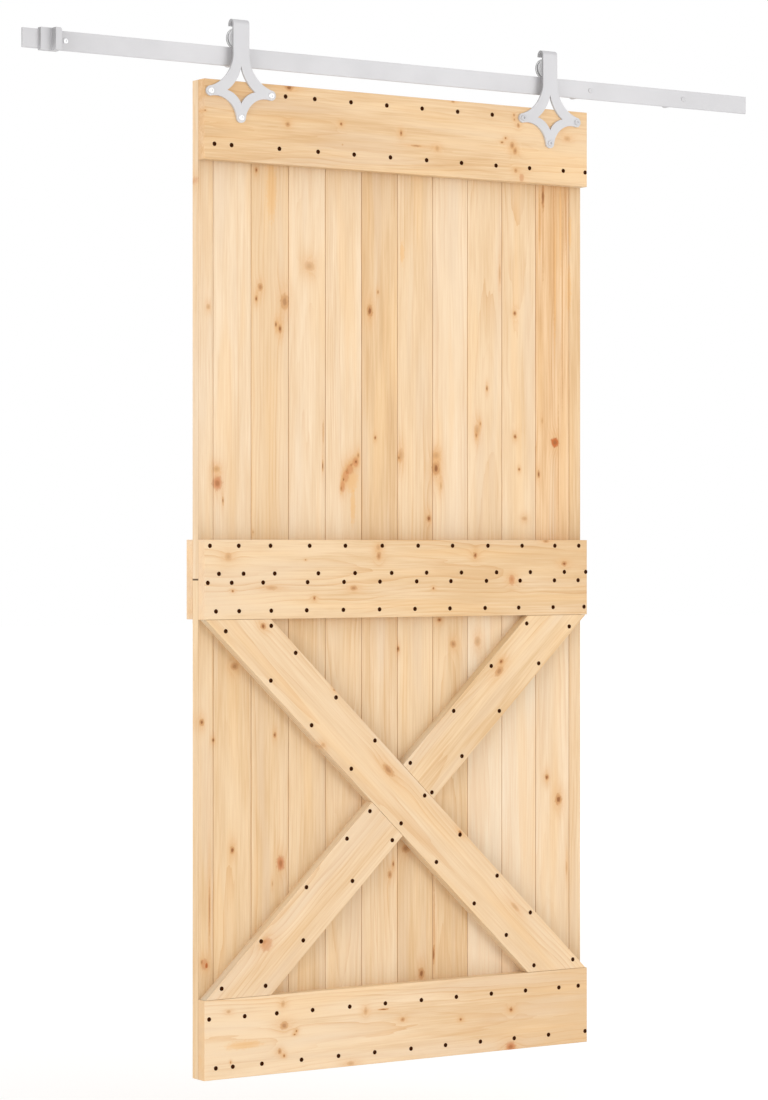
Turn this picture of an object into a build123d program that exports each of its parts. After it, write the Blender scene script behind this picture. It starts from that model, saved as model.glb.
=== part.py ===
import os

from build123d import *

os.makedirs("parts", exist_ok=True)

# Sliding barn door of pine boards on a flat steel rail, in millimetres.
# X runs along the rail, +Y points into the wall and +Z is up. The wall is the plane Y = 0.
# The origin lies on the rear face of the second wall spacer, just below its hole.

# Door leaf
door_width = 1000.0
door_height = 2100.0
board_thickness = 25.0
board_pitch = 93.2
first_board_width = 36.0
narrowest_board = 20.0
seam_gap = 0.6
board_ease = 0.9
tongue_thickness = 8.0
tongue_length = 6.0
tongue_clearance = 0.25
storey_gap = 0.6

# Battens and braces
batten_thickness = 25.0
batten_height = 168.0
batten_ease = 1.2
brace_cut = 160.0
brace_inset = 4.0
brace_joint_gap = 0.5

# Rail
rail_length = 1893.0
rail_height = 40.0
rail_thickness = 6.0
rail_ease = 0.6
rail_left_overhang = 419.0
rail_setback = 12.5
rail_above_door = 32.5
left_fixings = (98.0, 524.0)
right_fixings = (455.0, 187.0)
fixing_hole_diameter = 10.5

# Wall spacers
spacer_diameter = 24.0
wall_gap = 8.0

# End stop
stop_offset = 38.0
stop_length = 40.5
stop_plate = 7.0
stop_lip = 3.0
stop_clearance = 0.2
bumper_length = 14.5
bumper_height = 16.0
bumper_round = 5.0

# Wheels and axles
wheel_root_radius = 19.5
flange_depth = 3.0
flange_thickness = 2.8
groove_side_clearance = 0.7
wheel_running_gap = 0.3
wheel_ease = 0.8
axle_diameter = 8.0
axle_fit = 0.05
axle_end_play = 0.3
collar_diameter = 14.0
axle_head_length = 4.0

# Hangers
hanger_inset_left = 87.5
hanger_inset_right = 106.5
strap_width = 39.0
strap_thickness = 5.0
hook_depth = 22.0
hook_tail = 3.2
hook_clearance = 2.0
side_bolt_drop = 25.0
side_bolt_reach = 74.0
bottom_bolt_drop = 52.0
arm_width = 21.5
bolt_hole_diameter = 8.5
flare_rise = 76.0
flare_out = 16.5
flare_up = 36.5
notch_out = 29.0
notch_down = 20.0
window_apex = 56.5
window_base = 23.0
window_corner_out = 34.5
window_corner_up = 4.0
window_shoulder_out = 13.0
window_shoulder_up = 26.0
window_hip_out = 14.0
window_hip_down = 5.5

# Heights, counted up from the origin, which lies midway across the ring of the spacer's rear face
rail_z = (fixing_hole_diameter + spacer_diameter) / 4
rail_top = rail_z + rail_height / 2
rail_bottom = rail_z - rail_height / 2
door_top = rail_bottom - rail_above_door
door_bottom = door_top - door_height
storey_z = (door_top + door_bottom) / 2

# Depths, counted from the wall towards the room
back_batten_back = -wall_gap
board_back = back_batten_back - batten_thickness
board_front = board_back - board_thickness
batten_front = board_front - batten_thickness
strap_front = batten_front - strap_thickness
rail_front = batten_front + rail_setback
rail_back = rail_front + rail_thickness
rail_y = (rail_front + rail_back) / 2

# Places along the rail
rail_left = -left_fixings[1]
rail_right = rail_left + rail_length
door_left = rail_left + rail_left_overhang
door_right = door_left + door_width
door_x = (door_left + door_right) / 2
fixing_xs = [rail_left + inset for inset in left_fixings] + [rail_right - inset for inset in right_fixings]

# Wheel sizes and the axle's height
flange_radius = wheel_root_radius + flange_depth
groove_width = rail_thickness + 2 * groove_side_clearance
wheel_width = groove_width + 2 * flange_thickness
wheel_front = rail_y - wheel_width / 2
wheel_back = rail_y + wheel_width / 2
axle_z = rail_top + wheel_running_gap + wheel_root_radius


# A sketch plane facing the room at depth y: local x is X, local y is Z, and an extrusion comes forward.
def facing_room(y):
    return Plane.XZ.offset(-y)


# Boards: one tongue-and-groove section carried up each storey
seams = [door_left + first_board_width]
while seams[-1] + board_pitch < door_right - narrowest_board:
    seams.append(seams[-1] + board_pitch)
board_lefts = [door_left] + [seam + seam_gap / 2 for seam in seams]
board_rights = [seam - seam_gap / 2 for seam in seams] + [door_right]
board_y = (board_front + board_back) / 2
tongue_half = tongue_thickness / 2
groove_half = tongue_half + tongue_clearance
groove_reach = tongue_length - seam_gap + tongue_clearance
storeys = {
    "lower": (door_bottom, storey_z - storey_gap / 2),
    "upper": (storey_z + storey_gap / 2, door_top),
}


def board_outline(left, right, grooved, tongued):
    tongue = [
        (right, board_y - tongue_half),
        (right + tongue_length, board_y - tongue_half),
        (right + tongue_length, board_y + tongue_half),
        (right, board_y + tongue_half),
    ]
    groove = [
        (left, board_y + groove_half),
        (left + groove_reach, board_y + groove_half),
        (left + groove_reach, board_y - groove_half),
        (left, board_y - groove_half),
    ]
    front = [(left, board_front + board_ease), (left + board_ease, board_front)]
    front += [(right - board_ease, board_front), (right, board_front + board_ease)]
    back = [(right, board_back - board_ease), (right - board_ease, board_back)]
    back += [(left + board_ease, board_back), (left, board_back - board_ease)]
    return front + (tongue if tongued else []) + back + (groove if grooved else [])


for storey, (low, high) in storeys.items():
    for number, (left, right) in enumerate(zip(board_lefts, board_rights), start=1):
        outline = board_outline(left, right, number > 1, number < len(board_lefts))
        with BuildPart() as board:
            with BuildSketch(Plane.XY.offset(low)):
                with BuildLine():
                    Polyline(*outline, close=True)
                make_face()
            extrude(amount=high - low)
        board.part.label = f"{storey}_board_{number:02d}"
        export_step(board.part, f"parts/{board.part.label}.step")

# Front battens across the top, middle and bottom of the boards
batten_zs = {
    "top": door_top - batten_height / 2,
    "middle": storey_z,
    "bottom": door_bottom + batten_height / 2,
}
for name, batten_z in batten_zs.items():
    with BuildPart() as batten:
        with BuildSketch(facing_room(board_front)):
            with Locations((door_x, batten_z)):
                Rectangle(door_width, batten_height)
        extrude(amount=batten_thickness)
        fillet(batten.faces().sort_by(Axis.Y)[0].edges(), batten_ease)
    batten.part.label = f"{name}_batten"
    export_step(batten.part, f"parts/{batten.part.label}.step")

# Batten behind the joint of the two storeys
with BuildPart() as back_batten:
    with BuildSketch(facing_room(back_batten_back)):
        with Locations((door_x, storey_z)):
            Rectangle(door_width, batten_height)
    extrude(amount=batten_thickness)
    fillet(back_batten.faces().sort_by(Axis.Y)[-1].edges(), batten_ease)
back_batten.part.label = "back_batten"
export_step(back_batten.part, "parts/back_batten.step")

# Braces: bands across the lower bay, cut level where they meet the battens
bay_low = batten_zs["bottom"] + batten_height / 2 + brace_joint_gap
bay_high = batten_zs["middle"] - batten_height / 2 - brace_joint_gap
outer_left = door_left + brace_inset
outer_right = door_right - brace_inset
inner_left = outer_left + brace_cut
inner_right = outer_right - brace_cut
falling_band = [(outer_left, bay_high), (inner_left, bay_high)]
falling_band += [(outer_right, bay_low), (inner_right, bay_low)]
rising_band = [(inner_right, bay_high), (outer_right, bay_high)]
rising_band += [(inner_left, bay_low), (outer_left, bay_low)]

with BuildPart() as long_brace:
    with BuildSketch(facing_room(board_front)):
        with BuildLine():
            Polyline(*falling_band, close=True)
        make_face()
    extrude(amount=batten_thickness)
    fillet(long_brace.faces().sort_by(Axis.Y)[0].edges(), batten_ease)
long_brace.part.label = "long_brace"
export_step(long_brace.part, "parts/long_brace.step")

# The two short braces are the halves that the long one leaves of the rising band
for name, half in (("upper", -1), ("lower", 0)):
    with BuildPart() as short_brace:
        with BuildSketch(facing_room(board_front)) as band:
            with BuildLine():
                Polyline(*rising_band, close=True)
            make_face()
            with BuildSketch(mode=Mode.PRIVATE) as cutter:
                with BuildLine():
                    Polyline(*falling_band, close=True)
                make_face()
                offset(amount=brace_joint_gap)
            add(cutter.sketch, mode=Mode.SUBTRACT)
        extrude(band.sketch.faces().sort_by(Axis.Z)[half], amount=batten_thickness)
        fillet(short_brace.faces().sort_by(Axis.Y)[0].edges(), batten_ease)
    short_brace.part.label = f"{name}_short_brace"
    export_step(short_brace.part, f"parts/{short_brace.part.label}.step")

# Rail: a flat bar with its fixing holes along the middle
with BuildPart() as rail_bar:
    with BuildSketch(facing_room(rail_back)):
        with Locations(((rail_left + rail_right) / 2, rail_z)):
            Rectangle(rail_length, rail_height)
        with Locations(*[(x, rail_z) for x in fixing_xs]):
            Circle(fixing_hole_diameter / 2, mode=Mode.SUBTRACT)
    extrude(amount=rail_thickness)
    chamfer(rail_bar.faces().sort_by(Axis.Y)[0].outer_wire().edges(), rail_ease)
    chamfer(rail_bar.faces().sort_by(Axis.Y)[-1].outer_wire().edges(), rail_ease)
rail_bar.part.label = "rail_bar"
export_step(rail_bar.part, "parts/rail_bar.step")

# Spacers from the wall to the back of the rail, bored for the wall bolts
for number, x in enumerate(fixing_xs, start=1):
    with BuildPart() as spacer:
        with BuildSketch(facing_room(0)):
            with Locations((x, rail_z)):
                Circle(spacer_diameter / 2)
                Circle(fixing_hole_diameter / 2, mode=Mode.SUBTRACT)
        extrude(amount=-rail_back)
    spacer.part.label = f"wall_spacer_{number}"
    export_step(spacer.part, f"parts/{spacer.part.label}.step")

# End stop: a channel over the bar's left end, with a rounded bumper block standing forward
stop_left = rail_left + stop_offset
stop_right = stop_left + stop_length
stop_inside = rail_height / 2 + stop_clearance
stop_outside = stop_inside + stop_lip
plate_front = rail_front - stop_clearance - stop_plate
with BuildPart() as end_stop:
    with BuildSketch(Plane.YZ.offset(stop_left)):
        with BuildLine():
            Polyline(
                (plate_front, rail_z - stop_outside),
                (rail_back, rail_z - stop_outside),
                (rail_back, rail_z - stop_inside),
                (plate_front + stop_plate, rail_z - stop_inside),
                (plate_front + stop_plate, rail_z + stop_inside),
                (rail_back, rail_z + stop_inside),
                (rail_back, rail_z + stop_outside),
                (plate_front, rail_z + stop_outside),
                close=True,
            )
        make_face()
    extrude(amount=stop_length)
    with BuildSketch(facing_room(plate_front)) as bumper:
        with Locations((stop_right - bumper_length / 2, rail_z)):
            Rectangle(bumper_length, 2 * stop_outside)
        fillet(bumper.vertices().group_by(Axis.X)[-1], bumper_round)
    extrude(amount=bumper_height)
    chamfer(end_stop.faces().sort_by(Axis.Y)[0].edges(), rail_ease)
end_stop.part.label = "end_stop"
export_step(end_stop.part, "parts/end_stop.step")

# Hangers, axles and wheels
side_bolt_z = door_top - side_bolt_drop
half_strap = strap_width / 2
half_arm = arm_width / 2
hook_end_z = axle_z + flange_radius + hook_clearance
hook_z = hook_end_z + hook_tail
hook_outer = hook_depth / 2
hook_inner = hook_outer - strap_thickness
hook_back = strap_front + hook_depth
hook_y = strap_front + hook_outer
hook_inside = hook_y + hook_inner
axle_radius = axle_diameter / 2
bore_radius = axle_radius + axle_fit
hanger_xs = {"left": door_left + hanger_inset_left, "right": door_right - hanger_inset_right}

for side, hanger_x in hanger_xs.items():
    # Plate and strap: one outline of arcs about the side bolts' middle, with a concave star window
    plate_plane = Plane(origin=(hanger_x, batten_front, side_bolt_z), x_dir=(1, 0, 0), z_dir=(0, -1, 0))
    strap_top = hook_z - side_bolt_z
    arm_top = (side_bolt_reach, half_arm)
    arm_tip = (side_bolt_reach + half_arm, 0)
    arm_bottom = (side_bolt_reach, -half_arm)
    foot_side = (half_arm, -bottom_bolt_drop)
    foot_tip = (0, -bottom_bolt_drop - half_arm)
    corner = (window_corner_out, window_corner_up)
    with BuildPart() as hanger:
        with BuildSketch(plate_plane):
            with BuildLine():
                Polyline((0, strap_top), (half_strap, strap_top), (half_strap, flare_rise))
                ThreePointArc((half_strap, flare_rise), (half_strap + flare_out, flare_up), arm_top)
                ThreePointArc(arm_top, arm_tip, arm_bottom)
                ThreePointArc(arm_bottom, (notch_out, -notch_down), foot_side)
                RadiusArc(foot_side, foot_tip, half_arm)
                mirror(about=Plane.YZ)
            make_face()
            with BuildLine():
                ThreePointArc((0, window_apex), (window_shoulder_out, window_shoulder_up), corner)
                ThreePointArc(corner, (window_hip_out, -window_hip_down), (0, -window_base))
                mirror(about=Plane.YZ)
            make_face(mode=Mode.SUBTRACT)
            with Locations((-side_bolt_reach, 0), (side_bolt_reach, 0), (0, -bottom_bolt_drop)):
                Circle(bolt_hole_diameter / 2, mode=Mode.SUBTRACT)
        extrude(amount=strap_thickness)
        # Hook: the strap's top bent back through half a turn, ending above the wheel
        with BuildSketch(Plane.YZ.offset(hanger_x)):
            with BuildLine():
                Line((strap_front, hook_z), (batten_front, hook_z))
                ThreePointArc((batten_front, hook_z), (hook_y, hook_z + hook_inner), (hook_inside, hook_z))
                Polyline(
                    (hook_inside, hook_z),
                    (hook_inside, hook_end_z),
                    (hook_back, hook_end_z),
                    (hook_back, hook_z),
                )
                ThreePointArc((hook_back, hook_z), (hook_y, hook_z + hook_outer), (strap_front, hook_z))
            make_face()
        extrude(amount=half_strap, both=True)
    hanger.part.label = f"{side}_hanger"
    export_step(hanger.part, f"parts/{hanger.part.label}.step")

    # Axle: collar welded to the strap's back, shank through the wheel, head behind it
    axle_line = Axis((hanger_x, 0, axle_z), (0, 1, 0))
    collar_back = wheel_front - axle_end_play
    head_front = wheel_back + axle_end_play
    head_back = head_front + axle_head_length
    with BuildPart() as axle:
        with BuildSketch(Plane.YZ.offset(hanger_x)):
            with BuildLine():
                Polyline(
                    (batten_front, axle_z),
                    (batten_front, axle_z + collar_diameter / 2),
                    (collar_back, axle_z + collar_diameter / 2),
                    (collar_back, axle_z + axle_radius),
                    (head_front, axle_z + axle_radius),
                    (head_front, axle_z + collar_diameter / 2),
                    (head_back, axle_z + collar_diameter / 2),
                    (head_back, axle_z),
                    close=True,
                )
            make_face()
        revolve(axis=axle_line)
    axle.part.label = f"{side}_axle"
    export_step(axle.part, f"parts/{axle.part.label}.step")

    # Wheel: two flanges and a groove for the rail's top edge, eased round its outer rims
    groove_front = rail_y - groove_width / 2
    groove_back = rail_y + groove_width / 2
    with BuildPart() as wheel:
        with BuildSketch(Plane.YZ.offset(hanger_x)):
            with BuildLine():
                Polyline(
                    (wheel_front, axle_z + bore_radius),
                    (wheel_front, axle_z + flange_radius),
                    (groove_front, axle_z + flange_radius),
                    (groove_front, axle_z + wheel_root_radius),
                    (groove_back, axle_z + wheel_root_radius),
                    (groove_back, axle_z + flange_radius),
                    (wheel_back, axle_z + flange_radius),
                    (wheel_back, axle_z + bore_radius),
                    close=True,
                )
            make_face()
        revolve(axis=axle_line)
        rims = wheel.edges().filter_by(GeomType.CIRCLE).group_by(SortBy.RADIUS)[-1]
        chamfer([rims.sort_by(Axis.Y)[0], rims.sort_by(Axis.Y)[-1]], wheel_ease)
    wheel.part.label = f"{side}_wheel"
    export_step(wheel.part, f"parts/{wheel.part.label}.step")
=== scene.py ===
import math

import bpy
import numpy as np
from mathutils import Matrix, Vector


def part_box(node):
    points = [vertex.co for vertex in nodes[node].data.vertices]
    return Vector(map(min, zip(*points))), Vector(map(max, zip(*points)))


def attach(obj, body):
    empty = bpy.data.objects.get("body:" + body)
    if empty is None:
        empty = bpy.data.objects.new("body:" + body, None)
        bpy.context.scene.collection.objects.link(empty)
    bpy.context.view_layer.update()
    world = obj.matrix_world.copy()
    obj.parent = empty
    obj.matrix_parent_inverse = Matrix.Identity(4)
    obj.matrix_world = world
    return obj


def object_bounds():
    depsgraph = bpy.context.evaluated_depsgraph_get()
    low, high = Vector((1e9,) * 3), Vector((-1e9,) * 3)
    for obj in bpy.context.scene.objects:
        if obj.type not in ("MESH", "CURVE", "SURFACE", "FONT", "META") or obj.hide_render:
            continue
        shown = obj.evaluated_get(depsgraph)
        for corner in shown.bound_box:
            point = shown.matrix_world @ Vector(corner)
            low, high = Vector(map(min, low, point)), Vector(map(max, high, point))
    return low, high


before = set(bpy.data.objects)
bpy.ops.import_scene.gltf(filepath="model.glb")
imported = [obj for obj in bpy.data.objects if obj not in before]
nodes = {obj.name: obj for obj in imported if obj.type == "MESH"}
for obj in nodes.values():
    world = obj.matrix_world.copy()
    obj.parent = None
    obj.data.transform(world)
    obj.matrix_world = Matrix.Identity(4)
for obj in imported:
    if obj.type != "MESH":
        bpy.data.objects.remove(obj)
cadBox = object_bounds()
scene = bpy.context.scene
scene.view_settings.view_transform = "Standard"
mm = 0.001
fullTurn = 2 * math.pi
print("frame loaded:", len(nodes), "nodes")

# Door leaf places, from the frame
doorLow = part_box("bottom_batten")[0]
doorLeft = doorLow.x
doorFoot = doorLow.z
battenFace = doorLow.y
boardCount = 12  # boards in each of the two storeys
tongue = 6 * mm  # the part of a board that its neighbour's groove hides

# Camera: level, turned to the right, near the height of the door's middle
viewpoint = {
    "fromCorner": (-3.4852, -5.9686, 1.1228),  # metres from the leaf's lower left front corner
    "yaw": 33.4,  # degrees to the right of straight ahead
    "lens": 107.9,
    "sensor": 36.0,
    "drop": 5 / 1100,  # the horizon lies 5 pixels above the middle of the picture
    "clipEnd": 100,
}
cameraData = bpy.data.cameras.new("camera")
cameraData.lens = viewpoint["lens"]
cameraData.sensor_width = viewpoint["sensor"]
cameraData.shift_y = -viewpoint["drop"]
cameraData.clip_end = viewpoint["clipEnd"]
camera = bpy.data.objects.new("camera", cameraData)
camera.location = np.add(doorLow, viewpoint["fromCorner"])
camera.rotation_euler = (math.radians(90), 0, -math.radians(viewpoint["yaw"]))
scene.collection.objects.link(camera)
scene.camera = camera
print("camera set")


# A socket of a node tree. Sums and products of wires add Math nodes to the tree.
class Wire:
    def __init__(self, tree, socket=None):
        self.tree = tree
        self.socket = socket

    def node(self, kind, settings=None, inputs=None, out=0):
        made = self.tree.nodes.new(kind)
        for key, value in (settings or {}).items():
            setattr(made, key, value)
        for key, value in (inputs or {}).items():
            if isinstance(value, Wire):
                self.tree.links.new(value.socket, made.inputs[key])
            else:
                made.inputs[key].default_value = value
        if isinstance(out, tuple):
            return [Wire(self.tree, made.outputs[key]) for key in out]
        return Wire(self.tree, made.outputs[out])

    def math(self, operation, *values):
        return self.node("ShaderNodeMath", {"operation": operation}, dict(enumerate(values)))

    def __add__(self, other):
        return self.math("ADD", self, other)

    def __sub__(self, other):
        return self.math("SUBTRACT", self, other)

    def __rsub__(self, other):
        return self.math("SUBTRACT", other, self)

    def __mul__(self, other):
        return self.math("MULTIPLY", self, other)

    def __truediv__(self, other):
        return self.math("DIVIDE", self, other)

    def __pow__(self, other):
        return self.math("POWER", self, other)

    __radd__ = __add__
    __rmul__ = __mul__


# Noise on a point stretched by three factors, in waves per metre
def noiseAt(point, stretch, detail=2.0, roughness=0.5):
    moved = point.node("ShaderNodeVectorMath", {"operation": "MULTIPLY"}, {0: point, 1: stretch})
    settings = {"Vector": moved, "Scale": 1.0, "Detail": detail, "Roughness": roughness}
    return point.node("ShaderNodeTexNoise", {"noise_dimensions": "3D"}, settings)


# Smooth step: 0 at low, 1 at high
def fade(value, low, high):
    ends = {"Value": value, "From Min": low, "From Max": high}
    return value.node("ShaderNodeMapRange", {"interpolation_type": "SMOOTHSTEP"}, ends)


# Lifts a value that runs from 0 to 1, so that it runs from low to 1
def lift(value, low):
    return value * (1 - low) + low


# Lays a colour over a base by an amount; the Mix node's colours are its sockets 6 and 7
def lay(base, colour, amount, mode="MIX"):
    given = {0: amount, 6: base, 7: colour}
    return amount.node("ShaderNodeMix", {"data_type": "RGBA", "blend_type": mode}, given, out=2)


# A colour as it looks on a screen, 0 to 255, made linear
def seen(red, green, blue):
    return tuple(((part / 255 + 0.055) / 1.055) ** 2.4 for part in (red, green, blue)) + (1,)


def newMaterial(name):
    material = bpy.data.materials.new(name)
    material.use_nodes = True
    tree = material.node_tree
    return material, tree.nodes["Principled BSDF"], Wire(tree)


def plug(wire, shader, name):
    wire.tree.links.new(wire.socket, shader.inputs[name])


def bumped(shader, height, strength, distance):
    given = {"Strength": strength, "Distance": distance, "Height": height}
    plug(height.node("ShaderNodeBump", None, given), shader, "Normal")


def dress(name, material):
    nodes[name].material_slots[0].material = material


# Studio: even white light from all round, a far soft lamp to the right and one to the left, pale floor
studio = {
    "ambient": 0.60,
    "aim": (0.39, -0.08, -1.1),
    "floorDrop": 0.16,
    "floorHalf": 40.0,
    "floorColour": (0.9, 0.9, 0.9, 1),
    "nearGlow": 0.38,
    "farGlow": 0.56,
    "glowFrom": (1.5, 7.0),  # metres from the origin where the glow starts and stops rising
}
lamps = {
    "keyLamp": {"place": (4.6, -7.6, -0.8), "size": 6.0, "power": 338.0},
    "leftLamp": {"place": (-8.4, -2.2, -0.8), "size": 6.0, "power": 390.0},
}


# 1 for rays from the camera and for mirrored and refracted ones, which see the white background
def seenRays(start):
    direct, glossy, through = start.node(
        "ShaderNodeLightPath", out=("Is Camera Ray", "Is Glossy Ray", "Is Transmission Ray")
    )
    return direct.math("MAXIMUM", direct, direct.math("MAXIMUM", glossy, through))


world = bpy.data.worlds.new("studio")
world.use_nodes = True
scene.world = world
sky = Wire(world.node_tree)
background = world.node_tree.nodes["Background"]
background.inputs["Color"].default_value = (1, 1, 1, 1)
plug(lift(seenRays(sky), studio["ambient"]), background, "Strength")

for name, lamp in lamps.items():
    lampData = bpy.data.lights.new(name, "AREA")
    lampData.energy = lamp["power"]
    lampData.size = lamp["size"]
    lampObject = bpy.data.objects.new(name, lampData)
    lampObject.location = lamp["place"]
    toDoor = np.subtract(studio["aim"], lamp["place"])
    tilt = math.acos(-toDoor[2] / np.linalg.norm(toDoor))
    lampObject.rotation_euler = (tilt, 0, math.atan2(toDoor[1], toDoor[0]) - math.pi / 2)
    scene.collection.objects.link(lampObject)


def floorMaterial():
    material, shader, start = newMaterial("pale_floor")
    shader.inputs["Base Color"].default_value = studio["floorColour"]
    shader.inputs["Roughness"].default_value = 1.0
    shader.inputs["Specular IOR Level"].default_value = 0.0
    spot = start.node("ShaderNodeTexCoord", out="Object")
    away = spot.node("ShaderNodeVectorMath", {"operation": "LENGTH"}, {0: spot}, out="Value")
    rise = fade(away, *studio["glowFrom"]) * (studio["farGlow"] - studio["nearGlow"])
    glow = seenRays(start) * (studio["nearGlow"] + rise)
    plug(lay((0, 0, 0, 1), (1, 1, 1, 1), glow), shader, "Emission Color")
    shader.inputs["Emission Strength"].default_value = 1.0
    return material


floorZ = cadBox[0].z - studio["floorDrop"]
half = studio["floorHalf"]
corners = [(-half, -half, floorZ), (half, -half, floorZ), (half, half, floorZ), (-half, half, floorZ)]
floorMesh = bpy.data.meshes.new("floor")
floorMesh.from_pydata(corners, [], [(0, 1, 2, 3)])
floorMesh.materials.append(floorMaterial())
floor = bpy.data.objects.new("floor", floorMesh)
scene.collection.objects.link(floor)
print("studio lit")

# Pine: palest and deepest tone of a plank, and how strongly its late wood lines show
pineTones = {
    "ivory": {"pale": seen(255, 234, 204), "deep": seen(246, 215, 178), "lines": 0.4},
    "cream": {"pale": seen(255, 230, 197), "deep": seen(240, 206, 164), "lines": 0.45},
    "straw": {"pale": seen(252, 224, 187), "deep": seen(236, 199, 153), "lines": 0.55},
    "wheat": {"pale": seen(250, 220, 180), "deep": seen(232, 194, 146), "lines": 0.6},
    "honey": {"pale": seen(247, 215, 173), "deep": seen(227, 186, 137), "lines": 0.42},
    "amber": {"pale": seen(251, 215, 171), "deep": seen(228, 182, 130), "lines": 1.4},
}
pineStains = {
    "late": (0.82, 0.62, 0.40, 1),
    "cool": seen(240, 214, 184),
    "warm": seen(253, 212, 157),
    "resin": seen(244, 190, 120),
    "seam": (0.55, 0.40, 0.28, 1),
    "joint": (0.12, 0.08, 0.05, 1),
    "halo": seen(231, 180, 124),
    "knot": seen(211, 153, 97),
    "core": seen(150, 92, 46),
    "red": seen(202, 114, 56),
    # colour of the painted shade along the battens and braces
    "creaseShade": (0.76, 0.755, 0.745, 1),
}
# How a mark looks: strength of its halo, of its body and of its dark core, the body's stain and its rim
markKinds = {
    "tight": {"halo": 0.75, "body": 0.85, "core": 0.9, "stain": "knot", "rim": "crisp"},
    "brown": {"halo": 0.6, "body": 0.7, "core": 0.4, "stain": "knot", "rim": "crisp"},
    "red": {"halo": 0.6, "body": 1.0, "core": 0.5, "stain": "red", "rim": "crisp"},
    "rose": {"halo": 0.55, "body": 0.75, "core": 0.45, "stain": "red", "rim": "soft"},
    "blush": {"halo": 0.35, "body": 0.4, "core": 0.0, "stain": "red", "rim": "crisp"},
    "pale": {"halo": 0.6, "body": 0.4, "core": 0.15, "stain": "knot", "rim": "crisp"},
    "streak": {"halo": 0.5, "body": 0.9, "core": 0.9, "stain": "knot", "rim": "crisp"},
    "vein": {"halo": 0.2, "body": 0.6, "core": 0.0, "stain": "knot", "rim": "crisp"},
}
# Shape of every mark: a squared distance, torn by the blots, where each layer starts and is full
markShape = {
    "torn": 2.0,
    "crisp": (1.25, 0.4),
    "soft": (1.9, 0.0),
    "core": (0.34, 0.03),
    "resin": (1.6, 0.0),
    "haloFall": (0.3, 0.13),  # how fast the halo fades across and along
    "haloBlots": (0.9, 0.45),
    "bulge": 1.25,  # how far the grain gives way, in half widths of the knot
    "bulgeFall": 0.2,
    "longest": 4,  # a mark longer than this many times its width is a streak
}
# Noises in the pine: waves per metre across, through and along the plank, detail, roughness
pineNoise = {
    "sway": ((0, 0, 2.2), 2.0, 0.5),
    "wobble": ((16, 16, 3.0), 2.0, 0.5),
    "ripple": ((90, 90, 6), 2.0, 0.5),
    "blot": ((260, 260, 150), 2.0, 0.5),
    "come": ((22, 22, 3.0), 1.0, 0.5),
    "patch": ((12, 12, 1.6), 2.0, 0.5),
    "streak": ((38, 38, 3.4), 3.0, 0.6),
    "thread": ((240, 240, 7), 3.0, 0.65),
    "hue": ((26, 26, 2.2), 1.0, 0.5),
    "fibre": ((900, 900, 14), 2.0, 0.65),
    "uneven": ((0, 0, 7), 2.0, 0.5),
}
# Where each effect starts and is full, and how strong it then is
pineFades = {
    "come": (0.34, 0.62),
    "cool": (0.52, 0.72),
    "warm": (0.48, 0.28),
    "fibre": (0.45, 0.75),
    "pin": (0.022, 0.006),
    "uneven": (0.25, 0.75),
    "endCut": (0.6, 0.85),
    "sideways": (0.7, 0.3),
    "front": (0.3, 0.6),
    "seam": (1.3 * mm, 0.3 * mm),  # in from a board's edge
    "joint": (2.2 * mm, 1.0 * mm),  # in from a board's end
    "edgeShade": (-4 * mm, 14 * mm),  # painted shade: out from a batten or brace
}
pineAmounts = {
    "wobble": 0.016,  # metres that the rings wander
    "ripple": 0.005,
    "patch": 0.7,
    "streak": 0.85,
    "thread": 0.8,
    "weakestYear": 0.2,
    "faintest": 0.25,
    "endLines": 0.7,  # how much weaker the lines are on an end cut
    "cool": 0.4,
    "warm": 0.35,
    "resin": 0.55,
    "fibre": 0.09,
    "pin": 0.6,
    "pinTorn": 0.012,
    "pinPick": 0.74,  # this share of the pin knots is left out
    "seamLeast": 0.4,
    "joint": 0.9,
    "shadeBlots": (0.3, 0.85),
}
pineGloss = {
    "roughness": 0.58,
    "fibreRoughness": 0.16,
    "lineRoughness": 0.08,
    "specular": 0.3,
    "relief": 0.5,  # share of the fibres and of the lines in the bump
    "bump": 0.3,
    "bumpDepth": 0.5 * mm,
}
seedSteps = (1.7, 2.3, 3.1)  # how far a plank's seed moves its noises
pinStretch = (7, 0, 7)  # cells per metre that may hold a pin knot
shadeReach = 32 * mm  # how far the painted shade along a batten or brace spreads over the boards
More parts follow.
